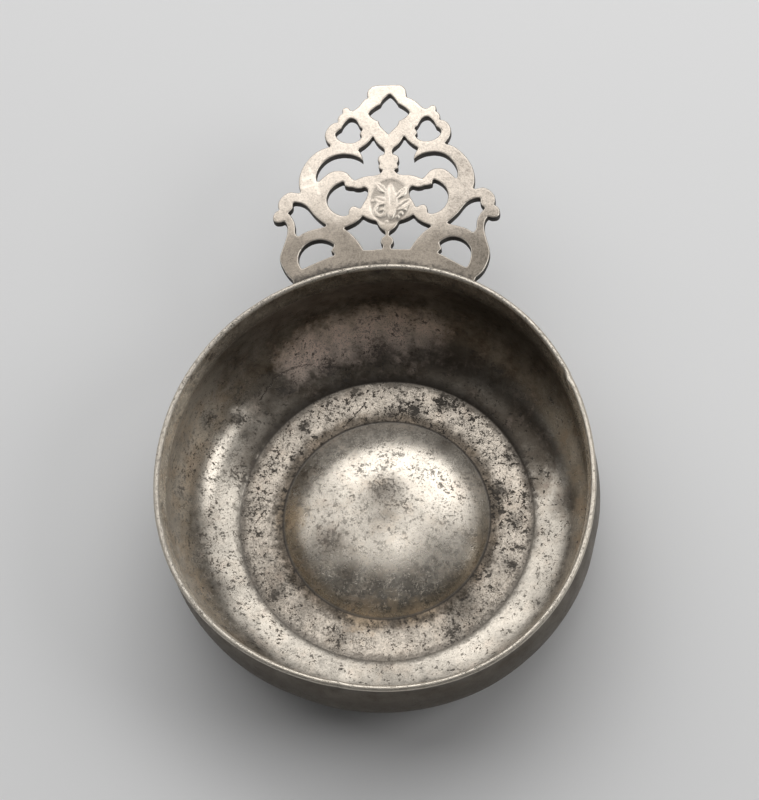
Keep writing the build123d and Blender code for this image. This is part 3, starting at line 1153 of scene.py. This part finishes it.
spots = peaks(pewter.noise(1.5, 1.0, 0.4, 11) + wanted * 0.6, 0.735)
specks = peaks(grain + wanted, 0.645).larger(spots * 0.8)
dots = peaks(dust + wanted * 0.8, 0.65, 0.05)
flakes = peaks(pewter.noise(1.4, 4.0, 0.66, 10) + wanted * 1.2, 0.645)
cores = peaks(mottle + field * 0.26, 0.66, 0.06)
depth = (tinted * 3.0 + 0.55 + gutter * 0.4 - dome * 0.2 + field * 0.5).clamped()
hairs = hair_cracks(pewter, shaken, 2.2, 0.04) * (beyond_dome * 0.15 + gutter * 0.55)
crack = strongest([stroke(pewter, shaken, *one) for one in cracks])
eaten = strongest([
    specks * (depth * 0.55 + 0.35), dots * 0.65, flakes * (depth * 0.65 + 0.2), cores * 0.7,
    hairs, field * 0.35, crack * 0.8,
])
print("pits:", len(pewter.tree.nodes), "nodes")

# %% [markdown]
# ## Painted shade and worn edges
#
# Painted shade darkens the crease, where the booge meets the gutter, most at the back, and a thin
# line round the dome's foot. The lip is the other way round: it is worn bright, with nicks. The
# neck's edge is a worn bright line, with a painted highlight on the right. Whatever darkens the
# colour here, pits and painted shade alike, also takes away from Metallic and adds to Roughness,
# and the pits go a little way into the relief.

# %% Painted shade, the outside's film and shade, and the bright lip
pit_and_shade_black = (0.035, 0.029, 0.024, 1)
outside_film_and_shade = (0.09, 0.073, 0.053, 1)
bright_wear_and_sheen = (0.62, 0.565, 0.485, 1)

# Painted shade: a dark line in the crease, stronger at the back, shade on either side of it, and a thin
# dark line round the dome's foot.
crease = 1 - pewter.step((radius - crease_mm - 0.2).unsigned(), 0.1, 0.5)
crease_shade = 1 - pewter.step((radius - crease_mm).unsigned() - ragged * 7.0, 0.2, 2.4)
dome_foot = 1 - pewter.step((radius - dome_mm - 0.1).unsigned(), 0.1, 0.7)
painted_corner_shade = inside * strongest([
    crease * (back * 0.35 + 0.55), crease_shade * 0.5, dome_foot * (mottle * 0.8 + 0.38),
])
dark = eaten.larger(painted_corner_shade).clamped() * (1 - outside * 0.3)
colour = pewter.blend(colour, pit_and_shade_black, dark * (1 - dome * 0.3))
# The outside's brown film: partly tarnish, partly painted shade on the belly.
colour = pewter.blend(colour, outside_film_and_shade, outside * (tinted * 0.5 + 0.9).clamped())

# The neck's edge: a worn bright line, raised on the right into a painted highlight.
neck_line = 1 - pewter.step((height - neck_mm).unsigned(), 0.15, 0.7)
nicks = pewter.step(dust * 0.5 + grain * 0.5, 0.52, 0.60)
worn = (lip * (0.95 - nicks * 0.7)).larger(neck_line * (right_side * 0.5 + 0.2) * inside)
colour = pewter.blend(colour, bright_wear_and_sheen, worn * (1 - dark))
print("grime and wear:", len(pewter.tree.nodes), "nodes")

# %% The bowl's surface
roughness = (
    0.275 + gutter * 0.125 + beyond_crease * 0.045 - collar * 0.05 + ragged * 0.3 + scale * 0.2
    + dark * 0.3 + outside * 0.15 + lip * 0.12
)
metallic = (
    0.98 - dark * 0.75 - film_and_shade_mask * 0.15 - scale * 0.75 - tan * 0.15 - outside * 0.2
    - upper_left * 0.5 - dome_back * 0.4
)
relief = (
    grain * (gutter * 0.05 + 0.008) + mottle * (beyond_dome * 0.03 + 0.005) + rings * 0.008
    - specks * 0.03 - flakes * 0.05 - hairs * 0.03 - crack * 0.08 - nicks * lip * 0.05
)
bowl.data.materials.append(pewter.surface({
    "Base Color": colour, "Roughness": roughness, "Metallic": metallic,
    "Normal": pewter.bumped(relief),
}))
print("bowl finish:", len(pewter.tree.nodes), "nodes")

# %% [markdown]
# ## The ear's pewter
#
# The ear is paler than the bowl, because hands have kept it bright. Its top is finely
# mottled, its rounded edges carry a painted highlight, the walls of its piercings are dark
# with old polish, and grime lies in a band along the lip. The walls are told from the top by
# the way they face: the surface normal's Z is near 1 on top and near 0 on a wall.

# %% The finish of the ear
ear_cream = (0.55, 0.488, 0.42, 1)
ear_grey = (0.16, 0.137, 0.11, 1)
ear_sheen_and_scratch = (0.82, 0.75, 0.655, 1)
old_polish = (0.05, 0.043, 0.037, 1)


def on_ear(across_mm, along_mm):
    """A point on the ear's top face."""
    return (across_mm * mm, along_mm * mm, ear_top)


# Each scratch: from where, to where and how wide
ear_scratches = [
    (on_ear(-24, 101), on_ear(-20.5, 92), 0.7),
    (on_ear(-26, 97), on_ear(-19.5, 99), 0.25),
    (on_ear(-27, 94), on_ear(-21, 95.5), 0.2),
]
ear_pinprick = [(on_ear(24.5, 107), 0.8, 1.0)]


def ear_finish(name):
    """Cast pewter rubbed bright on top, with a painted highlight on its edges and old polish left in
    its hollows.
    """
    recipe = Recipe(name)
    upward = recipe.along(recipe.normal(), (0, 0, 1))
    rim = lip_radius / mm

    mottle = recipe.noise(1.3, 4.0, 0.7, 2)
    clouds = recipe.noise(8.0, 2.0, 0.55, 3)
    grain = recipe.noise(0.5, 3.0, 0.7, 4)
    ragged = mottle - 0.5
    top = recipe.step(upward, 0.25, 0.80)
    edge_highlight = top * (1 - recipe.step(upward, 0.92, 0.997))
    low = 1 - recipe.step(recipe.y + clouds * 12.0, rim + 12.0, rim + 34.0)
    root = 1 - recipe.step(recipe.from_axis() + ragged * 7.0, rim + 1.0, rim + 3.8)
    finial = recipe.step(recipe.y, 112.0, 126.0)
    right_half = recipe.step(recipe.x, 12.0, 24.0)

    colour = recipe.blend(ear_cream, ear_grey, low * 0.85)
    tone = (clouds - 0.5) * 0.5 + ragged * 0.9 + (grain - 0.5) * 1.5 + finial * 0.25 - right_half * 0.25
    colour = recipe.scaled(colour, tone + 1.0)
    specks = recipe.step(grain + ragged * 0.5 + root * 0.12, 0.66, 0.72)
    pinprick = nearness(recipe, recipe.place, ear_pinprick)
    sunk = recipe.step(ear_top / mm - recipe.z + ragged * 0.2, 0.08, 0.24) * top
    scratches = strongest([stroke(recipe, recipe.place, *one) for one in ear_scratches])
    # Painted highlight along the rounded edges, and bright scratches.
    colour = recipe.blend(colour, ear_sheen_and_scratch, (edge_highlight * 0.85).larger(scratches * 0.4))
    dark = strongest([specks * 0.6, pinprick, root * 0.8, sunk * 0.34, 1 - top])
    colour = recipe.blend(colour, old_polish, dark * 0.95)

    relief = mottle * 0.06 + grain * 0.045 - specks * 0.04 - scratches * 0.02
    return recipe.surface({
        "Base Color": colour, "Roughness": 0.36 + ragged * 0.3 + dark * 0.3,
        "Metallic": 0.96 - dark * 0.6, "Normal": recipe.bumped(relief),
    })


ear.data.materials.append(ear_finish("ear_pewter"))
bracket.data.materials.append(ear_finish("bracket_pewter"))
print("ear finish:", len(ear.data.materials[0].node_tree.nodes), "nodes")

# %% [markdown]
# ## The solder
#
# The fillet in the corner was never polished: it is dull, darker than its neighbours and
# full of small round holes, as fused metal is that has boiled. Here the cells of a Voronoi
# texture are right: each cell has its own random number, and where that is below the share
# wanted, there is a hole in its middle. One noise and these holes are all that it needs.

# %% The finish of the solder
solder_dull = (0.12, 0.107, 0.09, 1)
solder_grey = (0.36, 0.335, 0.295, 1)
hole_spacing = 0.6
hole_share = 0.4
hole_size = 0.45

fused = Recipe("solder")
lumps = fused.noise(0.8, 3.0, 0.65, 1)
cell_inputs = {"Vector": fused.place, "Scale": 1 / hole_spacing}
from_middle = fused.add("ShaderNodeTexVoronoi", inputs=cell_inputs, output="Distance")
number = fused.add("ShaderNodeSeparateColor", inputs={0: from_middle.beside("Color")})
has_hole = ((hole_share - number) * 7.0).clamped()
holes = has_hole * (1 - fused.step(from_middle, hole_size * 0.4, hole_size))

colour = fused.blend(solder_dull, solder_grey, fused.step(lumps, 0.38, 0.62))
solder.data.materials.append(fused.surface({
    "Base Color": fused.blend(colour, pit_and_shade_black, holes * 0.9), "Roughness": 0.5 + holes * 0.25,
    "Metallic": 0.8 - holes * 0.5, "Normal": fused.bumped(lumps * 0.1 - holes * 0.08),
}))
print("solder finish:", len(fused.tree.nodes), "nodes")

# %% [markdown]
# ## Floor and light
#
# Metal shows its surroundings, so the light is half of its look. The studio is a pale floor
# and one very wide soft panel, high behind the ear and leaning over it, like the sky in a
# north window. Two smaller and brighter patches in that panel make the bright horseshoe on
# the dome, and a small lamp on the right makes the streak on the left wall. In front, where
# the camera stands, it is dim, which keeps the far wall and the near rim of the dome dark.
# A picture of a studio wrapped round the scene could do the same, but lamps can be moved one
# by one. Each is an oval, so that no straight edge shows in the metal.

# %% The floor
floor_half = 3.0
floor_pale = (0.80, 0.80, 0.80, 1)
floor_mesh = bpy.data.meshes.new("floor")
floor_corners = [(x * floor_half, y * floor_half, 0) for x, y in ((-1, -1), (1, -1), (1, 1), (-1, 1))]
floor_mesh.from_pydata(floor_corners, [], [(0, 1, 2, 3)])
floor = bpy.data.objects.new("floor", floor_mesh)
bpy.context.scene.collection.objects.link(floor)
floor_mesh.materials.append(Recipe("floor_paper").surface({"Base Color": floor_pale, "Roughness": 0.8}))
print("floor:", 2 * floor_half, "m wide")

# %% The lamps and the world
# Each panel: name, the way to it from the bowl, how far, width, depth and brightness
panels = [
    ("back_panel", (-0.10, 0.59, 0.79), 1.30, 3.15, 1.70, 1.3),
    ("bright_middle", (-0.04, 0.66, 0.75), 1.20, 0.85, 0.55, 1.3),
    ("bright_right", (0.30, 0.50, 0.81), 1.20, 0.45, 0.42, 1.1),
    ("right_panel", (0.79, 0.04, 0.63), 1.10, 0.55, 0.5, 3.4),
]
world_grey = (0.12, 0.12, 0.12, 1)


def add_panel(name, way, distance, width, depth, brightness):
    """A soft oval lamp that faces the bowl and looks equally bright all over."""
    light = bpy.data.lights.new(name, "AREA")
    light.shape = "ELLIPSE"
    light.size = width
    light.size_y = depth
    light.energy = brightness * pi * (pi / 4 * width * depth)
    lamp = bpy.data.objects.new(name, light)
    towards = Vector(way).normalized()
    lamp.location = towards * distance
    lamp.rotation_euler = towards.to_track_quat("Z", "Y").to_euler()
    bpy.context.scene.collection.objects.link(lamp)
    return light.energy


for panel in panels:
    print(panel[0], round(add_panel(*panel), 2), "W")

world = bpy.data.worlds.new("studio")
world.use_nodes = True
world.node_tree.nodes["Background"].inputs["Color"].default_value = world_grey
bpy.context.scene.world = world
bpy.context.scene.view_settings.view_transform = "Standard"

# %% [markdown]
# ## What each piece stands for
#
# Every piece rides on the one body that the porringer is, and takes the place of its solid.

# %% Join the pieces to the frame
for piece, node, material_slot in (
    (bowl, "bowl", "bowl_pewter"),
    (ear, "ear", "ear_pewter"),
    (bracket, "ear_bracket", "ear_pewter"),
    (solder, "seam_solder", "solder"),
):
    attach(piece, "root")
    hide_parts(node)
